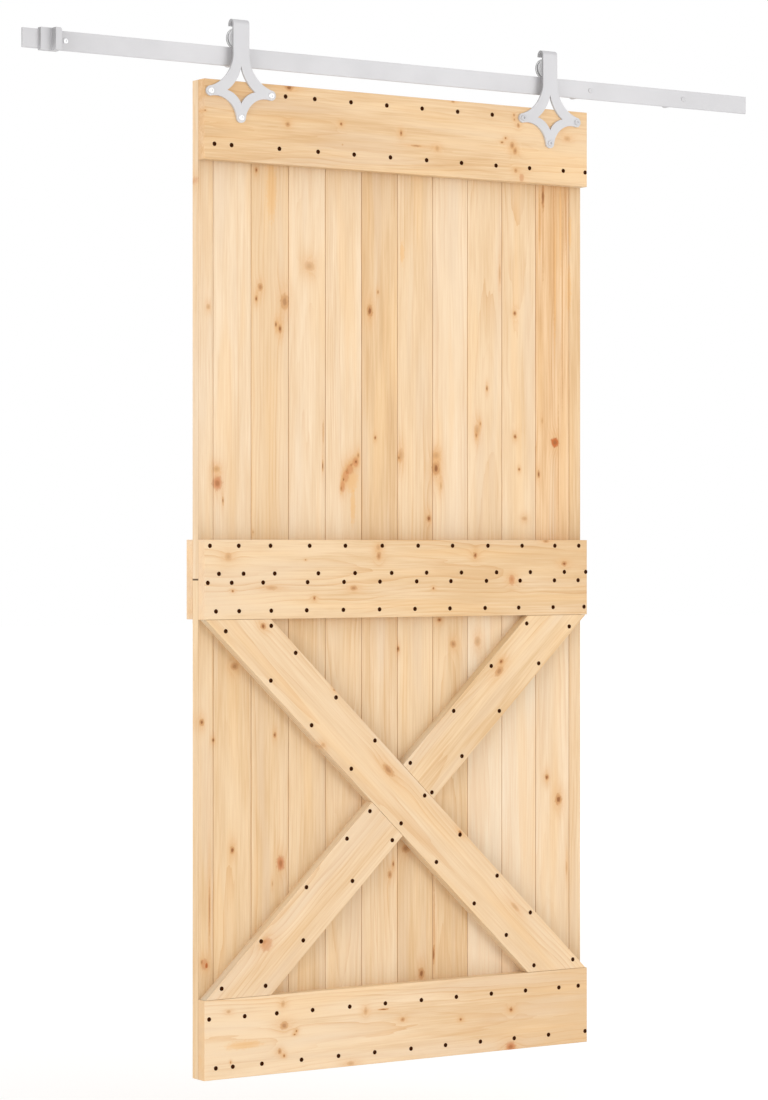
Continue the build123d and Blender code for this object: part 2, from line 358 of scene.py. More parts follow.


# One plank's pine. Rings are shells round a pith line that lies beside the plank, sways and tapers:
# ring number = (distance from the pith + taper along the plank + a bulge round each knot) / ring width.
def pineMaterial(name, plank):
    material, shader, start = newMaterial(name)
    tone = pineTones[plank["tone"]]
    spot, facing = start.node("ShaderNodeTexCoord", out=("Object", "Normal"))
    given = {"Vector": spot, "Location": plank["centre"], "Rotation": (0, plank["turn"], 0)}
    place = spot.node("ShaderNodeMapping", {"vector_type": "TEXTURE"}, given)
    across, deep, along = place.node("ShaderNodeSeparateXYZ", None, {0: place}, out=(0, 1, 2))
    seed = plank["seed"]
    shift = tuple(step * seed for step in seedSteps)
    own = place.node("ShaderNodeVectorMath", {"operation": "ADD"}, {0: place, 1: shift})

    def noise(effect):
        return noiseAt(own, *pineNoise[effect])

    sway = noise("sway") - 0.5
    wobble = noise("wobble") - 0.5
    ripple = noise("ripple") - 0.5
    aside = across - plank["pith"][0] + sway * plank["sway"]
    behind = deep - plank["pith"][1]
    radius = (aside * aside + behind * behind) ** 0.5 + along * plank["taper"]
    radius = radius + wobble * pineAmounts["wobble"] + ripple * pineAmounts["ripple"]
    blot = noise("blot")

    stains = {}
    for markAcross, markAlong, halfAcross, halfAlong, kind in plank["marks"]:
        far = (across - markAcross) / halfAcross
        up = (along - markAlong) / halfAlong
        reach = far * far + up * up
        ragged = reach * (blot * markShape["torn"])
        if kind == "resin":
            stains["resin"] = stains.get("resin", 0.0) + fade(ragged, *markShape["resin"])
            continue
        look = markKinds[kind]
        if halfAlong < markShape["longest"] * halfAcross:  # grain flows round a knot, not round a streak
            bulge = reach.math("EXPONENT", reach * -markShape["bulgeFall"])
            radius = radius + bulge * (markShape["bulge"] * look["body"] * halfAcross)
        haloAcross, haloAlong = markShape["haloFall"]
        spread = far * far * haloAcross + up * up * haloAlong
        blotted, least = markShape["haloBlots"]
        ring = spread.math("EXPONENT", spread * -1.0) * (blot * blotted + least) * look["halo"]
        body = fade(ragged, *markShape[look["rim"]]) * look["body"]
        heart = fade(ragged, *markShape["core"]) * look["core"]
        for stain, amount in (("halo", ring), (look["stain"], body), ("core", heart)):
            stains[stain] = stains.get(stain, 0.0) + amount

    axis = (math.sin(plank["turn"]), 0, math.cos(plank["turn"]))
    dot = {"operation": "DOT_PRODUCT"}
    lean = facing.node("ShaderNodeVectorMath", dot, {0: facing, 1: axis}, out="Value")
    endCut = fade(lean.math("ABSOLUTE", lean), *pineFades["endCut"])
    rings = radius / plank["ringWidth"]
    sharpness, strength = plank["grain"]
    late = rings.math("FRACT", rings) ** sharpness
    year = rings.math("FLOOR", rings) + seed
    vigour = year.node("ShaderNodeTexWhiteNoise", {"noise_dimensions": "1D"}, {"W": year}, out="Value")
    come = fade(noise("come"), *pineFades["come"])  # lines come and go along the plank
    lines = late * lift(vigour, pineAmounts["weakestYear"]) * lift(come, pineAmounts["faintest"])
    lines = lines * (1 - endCut * pineAmounts["endLines"]) * (strength * tone["lines"])

    patch = (noise("patch") - 0.5) * pineAmounts["patch"]
    streak = (noise("streak") - 0.5) * pineAmounts["streak"]
    thread = (noise("thread") - 0.5) * pineAmounts["thread"]
    depth = fade(patch + streak + thread + along * plank["drift"], -plank["calm"], plank["calm"])
    hue = noise("hue")
    fibre = noise("fibre")
    pinAt = own.node("ShaderNodeVectorMath", {"operation": "MULTIPLY"}, {0: own, 1: pinStretch})
    cells = {"Vector": pinAt, "Scale": 1.0}
    pinFar, pinColour = pinAt.node("ShaderNodeTexVoronoi", None, cells, out=("Distance", "Color"))
    pinPick = pinColour.node("ShaderNodeSeparateColor", None, {0: pinColour})
    chosen = pinPick.math("GREATER_THAN", pinPick, pineAmounts["pinPick"])
    pinRim = pinFar + (blot - 0.5) * pineAmounts["pinTorn"]
    pins = fade(pinRim, *pineFades["pin"]) * chosen * pineAmounts["pin"]

    colour = lay(tone["pale"], tone["deep"], depth)
    colour = lay(colour, pineStains["cool"], fade(hue, *pineFades["cool"]) * pineAmounts["cool"])
    colour = lay(colour, pineStains["warm"], fade(hue, *pineFades["warm"]) * pineAmounts["warm"])
    if "resin" in stains:
        colour = lay(colour, pineStains["resin"], stains["resin"] * pineAmounts["resin"])
    colour = lay(colour, pineStains["late"], lines, "MULTIPLY")
    pores = fade(fibre, *pineFades["fibre"]) * pineAmounts["fibre"]
    colour = lay(colour, pineStains["late"], pores, "MULTIPLY")
    colour = lay(colour, pineStains["knot"], pins)
    for stain in ("halo", "knot", "red", "core"):
        if stain in stains:
            colour = lay(colour, pineStains[stain], stains[stain])

    forward = facing.node("ShaderNodeSeparateXYZ", None, {0: facing}, out=1) * -1
    sideways = fade(forward.math("ABSOLUTE", forward), *pineFades["sideways"])
    if plank["seam"]:
        rim = across.math("ABSOLUTE", across)
        uneven = lift(fade(noise("uneven"), *pineFades["uneven"]), pineAmounts["seamLeast"])
        edge = fade(rim, *(plank["halfWidth"] - inset for inset in pineFades["seam"]))
        dark = edge * uneven * (1 - sideways) * plank["seam"]
        colour = lay(colour, pineStains["seam"], dark, "MULTIPLY")
    if plank["joint"]:
        close = fade(along * plank["joint"], *(plank["halfLength"] - inset for inset in pineFades["joint"]))
        colour = lay(colour, pineStains["joint"], close * pineAmounts["joint"], "MULTIPLY")
    # painted shade on the boards' fronts along the battens and braces, blotted unevenly
    if plank["bands"]:
        creaseShade = 0.0
        x, z = spot.node("ShaderNodeSeparateXYZ", None, {0: spot}, out=(0, 2))
        for band in plank["bands"]:
            (normalX, normalZ), (middleX, middleZ) = band["normal"], band["middle"]
            off = x * normalX + z * normalZ - (middleX * normalX + middleZ * normalZ)
            gap = off.math("MAXIMUM", off.math("ABSOLUTE", off) - band["half"], 0.0)
            edgeShade = gap.math("EXPONENT", gap * (-1 / shadeReach))
            edgeShade = edgeShade * lift(fade(gap, *pineFades["edgeShade"]), band["near"])
            creaseShade = edgeShade.math("MAXIMUM", creaseShade, edgeShade)
        blotted, least = pineAmounts["shadeBlots"]
        frontShade = creaseShade * (blot * blotted + least) * fade(forward, *pineFades["front"])
        colour = lay(colour, pineStains["creaseShade"], frontShade, "MULTIPLY")
    # the side faces take the plank's side tint: painted light on the battens, painted shade on the braces
    colour = lay(colour, plank["side"] + (1,), sideways * (1 - endCut), "MULTIPLY")
    colour = lay(colour, plank["end"] + (1,), endCut, "MULTIPLY")
    plug(colour, shader, "Base Color")
    fibreGloss = pineGloss["roughness"] + fibre * pineGloss["fibreRoughness"]
    plug(fibreGloss - lines * pineGloss["lineRoughness"], shader, "Roughness")
    shader.inputs["Specular IOR Level"].default_value = pineGloss["specular"]
    relief = fibre * pineGloss["relief"] - lines * pineGloss["relief"]
    bumped(shader, relief, pineGloss["bump"], pineGloss["bumpDepth"])
    return material


# Marks in the wood: millimetres from the door's left edge and above its foot, half width, half length, kind
boardMarks = [
    (46, 1253, 11, 14, "rose"), (44, 1283, 9, 7, "pale"), (60, 1216, 1.8, 9, "streak"),
    (24, 1624, 5, 6, "pale"), (-4, 1889, 5, 12, "blush"), (142, 1919, 4, 6, "tight"),
    (180, 1880, 12, 70, "resin"), (152, 1671, 7, 9, "brown"), (142, 1646, 4, 7, "tight"),
    (213, 1642, 11, 19, "brown"), (191, 1593, 3, 7, "tight"), (201, 1584, 5, 10, "tight"),
    (134, 1150, 2.5, 3, "pale"), (275, 1721, 14, 11, "pale"), (309, 1293, 2, 13, "streak"),
    (310, 1366, 2, 28, "vein"), (356, 1245, 3, 6, "brown"), (362, 1264, 3, 6, "tight"),
    (371, 1284, 4, 7, "brown"), (382, 1296, 3.5, 4, "brown"), (394, 1303, 5, 5, "tight"),
    (400, 1317, 3, 6, "brown"), (382, 1262, 17, 26, "resin"), (386, 1205, 7, 40, "resin"),
    (360, 1250, 6, 13, "blush"), (368, 1271, 8, 14, "blush"), (379, 1287, 9, 12, "blush"),
    (393, 1302, 8, 12, "blush"), (970, 1830, 5, 40, "resin"), (968, 1700, 6, 60, "resin"),
    (430, 1631, 8, 15, "tight"), (451, 1673, 3, 5, "brown"), (444, 1356, 3.5, 5, "tight"),
    (511, 1319, 8, 17, "pale"), (506, 1313, 2.5, 4, "tight"), (514, 1761, 6, 26, "resin"),
    (604, 1291, 11, 16, "tight"), (604, 1320, 9, 8, "pale"), (617, 1253, 3, 9, "pale"),
    (585, 1181, 6, 9, "tight"), (714, 1378, 8, 14, "pale"), (712, 1366, 3, 6, "brown"),
    (723, 1392, 2.5, 5, "brown"), (741, 1471, 3, 7, "tight"), (776, 1727, 3, 24, "pale"),
    (817, 1641, 5, 6, "tight"), (818, 1365, 5, 6, "tight"), (829, 1292, 3.6, 4, "tight"),
    (844, 1182, 8, 5, "pale"), (893, 1402, 3, 8, "pale"), (883, 1282, 4, 9, "tight"),
    (895, 1906, 4.5, 32, "streak"), (895, 1800, 1.6, 90, "vein"), (928, 1354, 11, 12, "red"),
    (926, 1765, 1.6, 170, "vein"), (949, 1640, 1.8, 260, "vein"), (938, 1290, 1.6, 160, "vein"),
    (959, 1857, 2, 75, "vein"), (886, 1850, 4, 90, "resin"), (944, 1860, 3, 120, "resin"),
    (928, 1700, 3, 160, "resin"), (88, 866, 10, 9, "brown"), (8, 750, 6, 8, "tight"),
    (36, 712, 4, 5, "tight"), (188, 718, 4, 7, "tight"), (83, 478, 6, 9, "tight"),
    (203, 444, 9, 15, "rose"), (182, 401, 2, 6, "pale"), (27, 359, 2.4, 62, "brown"),
    (15, 241, 9, 12, "blush"), (8, 246, 3, 6, "brown"), (20, 238, 3, 6, "red"),
    (482, 404, 6, 9, "brown"), (491, 427, 3, 7, "tight"), (524, 459, 12, 10, "brown"),
    (504, 896, 4, 7, "tight"), (613, 958, 7, 5, "tight"), (650, 904, 9, 9, "brown"),
    (715, 909, 9, 12, "pale"), (906, 600, 6, 8, "tight"), (938, 549, 10, 13, "tight"),
    (961, 393, 2.5, 15, "pale"), (565, 183, 8, 13, "tight"), (598, 223, 3, 22, "streak"),
    (599, 300, 2.4, 80, "vein"), (886, 1850, 2, 60, "vein"),
]
# The same on the battens, with the half sizes up and along
battenMarks = [
    (209, 2096, 7, 12, "tight"), (205, 2018, 6, 6, "brown"), (340, 2028, 5, 4, "tight"),
    (2, 2033, 2, 2, "tight"), (495, 2019, 7, 4, "tight"), (535, 1994, 2.5, 16, "brown"),
    (590, 1992, 7, 6, "pale"), (774, 2027, 3, 3, "tight"), (764, 2017, 3, 4, "tight"),
    (792, 2012, 8, 6, "brown"), (800, 2000, 8, 6, "brown"), (809, 2058, 6, 4, "brown"),
    (797, 2080, 4, 3, "brown"), (798, 2070, 3, 2.5, "brown"), (802, 1957, 5, 5, "brown"),
    (818, 1942, 10, 7, "blush"), (944, 2037, 6, 10, "pale"), (920, 2058, 5, 8, "pale"),
    (632, 2098, 3, 5, "brown"), (58, 1098, 9, 9, "pale"), (437, 1099, 10, 6, "brown"),
    (436, 1118, 7, 6, "pale"), (372, 1030, 6, 10, "brown"), (250, 1091, 1.5, 2, "tight"),
    (272, 1009, 5, 4, "tight"), (165, 1032, 5, 16, "pale"), (69, 1026, 3, 3.5, "tight"),
    (692, 1100, 8, 6, "tight"), (936, 1081, 6, 8, "tight"), (791, 1045, 13, 8, "blush"),
    (791, 1047, 6, 5, "pale"), (580, 1028, 4, 3, "tight"), (885, 1131, 4, 9, "brown"),
    (196, 101, 9, 11, "brown"), (227, 87, 3, 3, "tight"), (222, 80, 2, 3, "tight"),
    (193, 147, 7, 5, "pale"), (185, 47, 7, 5, "brown"), (196, 37, 4, 3, "tight"),
    (64, 34, 3.5, 1.5, "tight"), (59, 141, 4, 5, "pale"), (403, 116, 9, 5, "pale"),
    (95, 68, 9, 45, "resin"), (364, 6, 5, 10, "pale"), (449, 116, 2, 14, "streak"),
    (789, 89, 6, 6, "tight"), (653, 78, 4, 4, "tight"), (499, 90, 5, 6, "brown"),
    (788, 6, 11, 12, "rose"),
]
braceMarks = {
    "long_brace": [
        (144, 951, 7, 7, "tight"), (461, 635, 9, 20, "brown"), (294, 694, 6, 6, "pale"),
        (652, 489, 4, 7, "tight"), (324, 813, 4, 4.5, "tight"), (800, 317, 5, 16, "pale"),
    ],
    "upper_short_brace": [(762, 864, 6, 7, "tight"), (757, 843, 9, 14, "brown")],
    "lower_short_brace": [
        (153, 276, 13, 16, "blush"), (146, 283, 5, 6, "pale"),
        (132, 306, 4, 6, "tight"), (450, 457, 5, 6, "pale"),
    ],
}


# Marks that lie on a plank, moved into its own across and along
def marksOn(plank, marks):
    centre, turn = plank["centre"], plank["turn"]
    found = []
    for s, h, halfAcross, halfAlong, kind in marks:
        dx = doorLeft + s * mm - centre[0]
        dz = doorFoot + h * mm - centre[2]
        across = dx * math.cos(turn) - dz * math.sin(turn)
        along = dx * math.sin(turn) + dz * math.cos(turn)
        near = plank["halfWidth"] + halfAcross * mm
        if abs(across) < near and abs(along) < plank["halfLength"]:
            found.append((across, along, halfAcross * mm, halfAlong * mm, kind))
    return found


# Bands that stand on the boards: the battens across, and the two lines of braces
longLow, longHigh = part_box("long_brace")
braceCut = 160 * mm  # level width of a brace's end
braceRun = longHigh.x - longLow.x - braceCut  # run and fall of a brace's long edges
braceFall = longHigh.z - longLow.z
braceLength = math.hypot(braceRun, braceFall)
braceHalf = braceCut / 2 * braceFall / braceLength
braceTurn = math.atan2(braceRun, braceFall)
# how much of the painted shade lies right at the edge of each
shadeAtEdge = {"top_batten": 1.0, "middle_batten": 0.75, "bottom_batten": 1.0, "braces": 0.25}


def battenBand(name):
    low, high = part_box(name)
    middle = (0, (low.z + high.z) / 2)
    return {"normal": (0, 1), "middle": middle, "half": (high.z - low.z) / 2, "near": shadeAtEdge[name]}


def braceBand(side):
    normal = (braceFall / braceLength, side * braceRun / braceLength)
    middle = ((longLow.x + longHigh.x) / 2, (longLow.z + longHigh.z) / 2)
    return {"normal": normal, "middle": middle, "half": braceHalf, "near": shadeAtEdge["braces"]}


storeyBands = {
    "upper": [battenBand("top_batten"), battenBand("middle_batten")],
    "lower": [battenBand("middle_batten"), battenBand("bottom_batten"), braceBand(1), braceBand(-1)],
}

endTint = (1.0, 0.96, 0.94)  # tint of an end cut
usualCalm = 0.33  # range of the stripes; a wider one makes them fainter
boards = {
    "upper": "cream cream straw cream cream honey straw cream straw straw amber honey".split(),
    "lower": "wheat wheat wheat wheat straw straw wheat wheat ivory ivory cream straw".split(),
    "flatSawn": {"upper": (4, 9, 10), "lower": (2, 5, 8, 11)},  # these show cathedral grain
    # where the pith lies aside and behind, in millimetres, and how it sways and tapers
    "flat": {"aside": (0, 12), "behind": (30, 55), "sway": 0.03, "taper": 3.5},
    "straight": {"aside": (55, 110), "behind": (10, 40), "sway": 0.02, "taper": 1},
    "taper": (0.007, 0.012),
    "upsideDown": 0.3,  # share of the boards whose taper runs the other way
    "ringWidth": (6.0, 10.0),
    "seam": (0.4, 0.7),
    "grain": (2.6, 1.0),
    "side": (1.0, 1.0, 1.0),
    # how much deeper the tone gets towards the head, by board; on lower_board_07 and lower_board_08 the
    # deeper foot is partly painted shade
    "drift": {
        "lower_board_04": 0.13, "lower_board_05": 0.25, "lower_board_06": 0.2, "lower_board_07": -0.65,
        "lower_board_08": -0.2, "lower_board_09": -0.25, "lower_board_10": -0.25, "lower_board_11": -0.2,
    },
    "calm": {"upper_board_03": 0.5, "upper_board_08": 0.46},  # these have the faintest stripes
    "joint": {"upper": -1, "lower": 1},  # which end of a board lies on the joint of the storeys
    "seedFrom": {"upper": 3, "lower": 7},
    "seedStep": 10,
}


# Right edge of a board's face, without the tongue that its neighbour hides
def boardRight(number, high):
    return high.x - (tongue if number < boardCount else 0)


grain = np.random.default_rng(11)
for storey in ("upper", "lower"):
    for number, tone in enumerate(boards[storey], start=1):
        name = f"{storey}_board_{number:02d}"
        low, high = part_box(name)
        right = boardRight(number, high)
        cut = boards["flat" if number in boards["flatSawn"][storey] else "straight"]
        side = grain.choice((-1, 1))
        seam = grain.uniform(*boards["seam"])
        pith = (side * grain.uniform(*cut["aside"]) * mm, grain.uniform(*cut["behind"]) * mm)
        taper = grain.uniform(*boards["taper"]) * cut["taper"]
        upright = grain.random() > boards["upsideDown"]
        plank = {
            "tone": tone,
            "turn": 0.0,
            "centre": ((low.x + right) / 2, (low.y + high.y) / 2, (low.z + high.z) / 2),
            "halfWidth": (right - low.x) / 2,
            "halfLength": (high.z - low.z) / 2,
            "seam": seam,
            "joint": boards["joint"][storey],
            "bands": storeyBands[storey],
            "side": boards["side"],
            "end": endTint,
            "grain": boards["grain"],
            "drift": boards["drift"].get(name, 0.0),
            "calm": boards["calm"].get(name, usualCalm),
            "seed": float(boards["seedStep"] * number + boards["seedFrom"][storey]),
            "pith": pith,
            "sway": cut["sway"],
            "taper": taper if upright else -taper,
            "ringWidth": grain.uniform(*boards["ringWidth"]) * mm,
        }
        plank["marks"] = marksOn(plank, boardMarks)
        dress(name, pineMaterial("pine_" + name, plank))
print("boards dressed")

# Battens and braces have no seams, no joint of storeys and no painted shade
plainTimber = {"seam": 0.0, "joint": 0, "bands": [], "end": endTint, "calm": usualCalm, "ringWidth": 7 * mm}

# Battens: tone, pith, how much deeper the tone gets from the left end to the right, tint of the end cut
battens = {
    "top_batten": {"tone": "honey", "pith": (8, 60), "drift": -0.38},
    "middle_batten": {"tone": "wheat", "pith": (-20, 45), "drift": 0.45},
    "bottom_batten": {"tone": "straw", "pith": (14, 50), "drift": 0.75, "end": (0.9, 0.8, 0.68)},
    "back_batten": {"tone": "straw", "pith": (5, -50), "drift": 0.0},
}
# side: painted light, the battens' side faces are made paler and less orange than their fronts
battenPine = {"side": (0.98, 1.06, 1.13), "grain": (3.6, 1.45), "sway": 0.05, "taper": 0.02}
battenSeeds = {"from": 300.0, "step": 13}
for number, (name, batten) in enumerate(battens.items(), start=1):
    low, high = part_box(name)
    plank = {
        **plainTimber,
        **battenPine,
        **batten,
        "turn": math.pi / 2,
        "centre": tuple((low + high) / 2),
        "halfWidth": (high.z - low.z) / 2,
        "halfLength": (high.x - low.x) / 2,
        "seed": battenSeeds["from"] + battenSeeds["step"] * number,
        "pith": tuple(value * mm for value in batten["pith"]),
    }
    plank["marks"] = marksOn(plank, battenMarks) if name != "back_batten" else []
    dress(name, pineMaterial("pine_" + name, plank))

braces = {
    "long_brace": {"tone": "straw", "turn": math.pi - braceTurn, "pith": (25, 40), "calm": 0.44},
    "upper_short_brace": {"tone": "wheat", "turn": braceTurn, "pith": (-12, 45), "calm": 0.3},
    "lower_short_brace": {"tone": "straw", "turn": braceTurn, "pith": (-30, 35)},
}
# side: painted shade, the braces' side faces are made darker and greyer than their fronts
bracePine = {"side": (0.86, 0.94, 1.03), "grain": (3.2, 0.9), "sway": 0.04, "taper": 0.012, "drift": 0.0}
braceSeeds = {"from": 500.0, "step": 17}
for number, (name, brace) in enumerate(braces.items(), start=1):
    low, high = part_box(name)
    plank = {
        **plainTimber,
        **bracePine,
        **brace,
        "centre": tuple((low + high) / 2),
        "halfWidth": braceHalf,
        "halfLength": braceLength / 2,
        "seed": braceSeeds["from"] + braceSeeds["step"] * number,
        "pith": tuple(value * mm for value in brace["pith"]),
    }
    plank["marks"] = marksOn(plank, braceMarks[name])
    dress(name, pineMaterial("pine_" + name, plank))
print("battens and braces dressed")

# Steel parts: satin light grey paint with a fine orange peel, with painted shade on the faces turned
# sideways and towards the rail's ends
paint = {
    "rail": (0.71, 0.7, 0.712, 1),
    # cut: a darker copy of the rail's paint, painted shade on the hangers, the end stop and the right
    # hanger's bolts
    "cut": (0.68, 0.672, 0.686, 1),
    "shade": (0.6, 0.592, 0.604, 1),
    # edge: colour of the painted shade on the faces turned sideways
    "edge": (0.28, 0.277, 0.28, 1),
    "railSideShade": 0.5,  # how dark the painted shade on the rail's sideways faces is
    "fullSideShade": 1.0,
    "roughness": 0.45,
    "roughnessRange": 0.12,
    "clouds": (9, 9, 9),
    "cloudDetail": 3.0,
    "cloudFade": (0.35, 0.8),
    "cloudShade": 0.4,
    "peel": (1500, 1500, 1500),
    "peelDetail": 1.0,
    "peelFade": (0.6, 0.75),
    "peelShade": 0.3,
    "peelBump": 0.12,
    "peelDepth": 0.15 * mm,
    "middle": 0.35,  # painted shade: the paint gets darker towards the rail's ends, away from here
    "endFade": (0.45, 1.0),
    "endShade": 0.5,
    "shadedSides": (0.55, 0.85),
    "shadedSidesLeast": 0.6,
    "armFade": (-0.03, 0.01),  # below this height are the star plates' arms
    "armShadeLeast": 0.25,
}


def paintMaterial(name, base, sideShadeStrength):
    material, shader, start = newMaterial(name)
    spot, facing = start.node("ShaderNodeTexCoord", out=("Object", "Normal"))
    cloud = noiseAt(spot, paint["clouds"], paint["cloudDetail"])
    peel = noiseAt(spot, paint["peel"], paint["peelDetail"])
    colour = lay(base, paint["shade"], fade(cloud, *paint["cloudFade"]) * paint["cloudShade"])
    colour = lay(colour, paint["shade"], fade(peel, *paint["peelFade"]) * paint["peelShade"])
    x, z = spot.node("ShaderNodeSeparateXYZ", None, {0: spot}, out=(0, 2))
    far = x.math("ABSOLUTE", x - paint["middle"])
    # painted shade towards the rail's ends
    colour = lay(colour, paint["shade"], fade(far, *paint["endFade"]) * paint["endShade"])
    # painted shade on the faces turned sideways
    sideways = facing.node("ShaderNodeSeparateXYZ", None, {0: facing}, out=0)
    shadedSides = fade(sideways.math("ABSOLUTE", sideways), *paint["shadedSides"])
    shadedSides = shadedSides * lift(cloud, paint["shadedSidesLeast"]) * sideShadeStrength
    # the painted side shade is weaker on the star plates' arms
    shadedSides = shadedSides * lift(fade(z, *paint["armFade"]), paint["armShadeLeast"])
    colour = lay(colour, paint["edge"], shadedSides)
    plug(colour, shader, "Base Color")
    plug(paint["roughness"] + (cloud - 0.5) * paint["roughnessRange"], shader, "Roughness")
    bumped(shader, peel, paint["peelBump"], paint["peelDepth"])
    return material


railPaint = paintMaterial("satin_paint", paint["rail"], paint["railSideShade"])
shadedPaint = paintMaterial("satin_paint_shaded", paint["cut"], paint["fullSideShade"])
spacers = [f"wall_spacer_{number}" for number in (1, 2, 3, 4)]
for name in ["rail_bar"] + spacers:
    dress(name, railPaint)
for name in ("end_stop", "left_hanger", "right_hanger"):
    dress(name, shadedPaint)

# Turned parts: the nylon wheels and their steel axles
turned = {
    "clouds": (120, 120, 120),
    "cloudFade": (0.4, 0.75),
    "cloudShade": 0.5,
    "wearAndShadeFade": (0.6, 0.3),
    "roughnessRange": 0.16,
    "lineDepth": 0.05 * mm,
}
nylon = {
    "colour": (0.98, 0.98, 0.975, 1),
    "shade": (0.94, 0.94, 0.935, 1),
    # tread: painted shade, a dark tread that draws the nylon wheel's outline
    "tread": (0.22, 0.22, 0.225, 1),
    "metallic": 0.0,
    "roughness": 0.5,
    "lineWidth": 1.6 * mm,
    "depth": 0.05,
    "spread": 9 * mm,  # how far light spreads inside
}
turnedSteel = {
    "colour": (0.62, 0.62, 0.63, 1),
    "shade": (0.5, 0.5, 0.51, 1),
    "tread": (0.55, 0.55, 0.56, 1),
    "metallic": 0.9,
    "roughness": 0.32,
    "lineWidth": 0.4 * mm,
    "depth": 0.15,
    "spread": 0.0,
}


# Turned finish: fine lathe lines round an axis along Y
def turnedMaterial(name, centre, finish):
    material, shader, start = newMaterial(name)
    spot, facing = start.node("ShaderNodeTexCoord", out=("Object", "Normal"))
    given = {"Vector": spot, "Location": centre}
    place = spot.node("ShaderNodeMapping", {"vector_type": "TEXTURE"}, given)
    x, y, z = place.node("ShaderNodeSeparateXYZ", None, {0: place}, out=(0, 1, 2))
    radius = (x * x + z * z) ** 0.5
    cut = radius.math("SINE", (radius + y) * (fullTurn / finish["lineWidth"]))
    cloud = noiseAt(place, turned["clouds"])
    shaded = fade(cloud, *turned["cloudFade"]) * turned["cloudShade"]
    colour = lay(finish["colour"], finish["shade"], shaded)
    front = facing.node("ShaderNodeSeparateXYZ", None, {0: facing}, out=1)
    wearAndShade = fade(front.math("ABSOLUTE", front), *turned["wearAndShadeFade"])  # treads and rims are greyer than faces; on the nylon wheel this is painted shade
    plug(lay(colour, finish["tread"], wearAndShade), shader, "Base Color")
    shader.inputs["Metallic"].default_value = finish["metallic"]
    if finish["spread"]:
        shader.inputs["Subsurface Weight"].default_value = 1.0
        shader.inputs["Subsurface Radius"].default_value = (1.0, 1.0, 1.0)
        shader.inputs["Subsurface Scale"].default_value = finish["spread"]
    plug(finish["roughness"] + (cloud - 0.5) * turned["roughnessRange"], shader, "Roughness")
    bumped(shader, cut, finish["depth"], turned["lineDepth"])
    return material


for side in ("left", "right"):
    low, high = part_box(f"{side}_axle")
    centre = tuple((low + high) / 2)
    dress(f"{side}_wheel", turnedMaterial(f"{side}_nylon", centre, nylon))
    dress(f"{side}_axle", turnedMaterial(f"{side}_turned_steel", centre, turnedSteel))
print("steel dressed")


# Heads turned about Y: radius and height are grids of rows from the middle outwards by angles round.
# A point is (centre x + radius cos a, centre y - height, centre z + radius sin a), where a is the sector's
# angle plus each head's own turn. Two poles close the front and the back.
def headMesh(name, radius, height, poles, centres, turns, facing=-1.0):
    rows, sectors = radius.shape
    count = len(centres)
    angle = np.arange(sectors) * fullTurn / sectors + np.asarray(turns)[:, None]
    ringX = radius[None] * np.cos(angle)[:, None, :]
    ringZ = radius[None] * np.sin(angle)[:, None, :]
    ringY = np.broadcast_to(facing * height[None], ringX.shape)
    rings = np.stack([-facing * ringX, ringY, ringZ], -1).reshape(count, rows * sectors, 3)
    tips = np.zeros((count, 2, 3))
    tips[:, :, 1] = facing * np.asarray(poles)
    points = np.concatenate([rings, tips], 1) + np.asarray(centres)[:, None, :]
    here = np.arange(rows * sectors).reshape(rows, sectors)
    after = np.roll(here, -1, 1)
    quads = np.stack([here[:-1], here[1:], after[1:], after[:-1]], -1).reshape(-1, 4)
    first, last = rows * sectors, rows * sectors + 1
    front = np.stack([np.full(sectors, first), here[0], after[0]], -1)
    back = np.stack([here[-1], np.full(sectors, last), after[-1]], -1)
    step = np.arange(count)[:, None, None] * (rows * sectors + 2)
    faces = (quads[None] + step).reshape(-1, 4).tolist()
    faces += (np.concatenate([front, back])[None] + step).reshape(-1, 3).tolist()
    mesh = bpy.data.meshes.new(name)
    mesh.from_pydata(points.reshape(-1, 3).tolist(), [], faces)
    return mesh


def addPiece(name, mesh, material, body, smooth=True):
    mesh.materials.append(material)
    mesh.polygons.foreach_set("use_smooth", [smooth] * len(mesh.polygons))
    piece = bpy.data.objects.new(name, mesh)
    scene.collection.objects.link(piece)
    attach(piece, body)


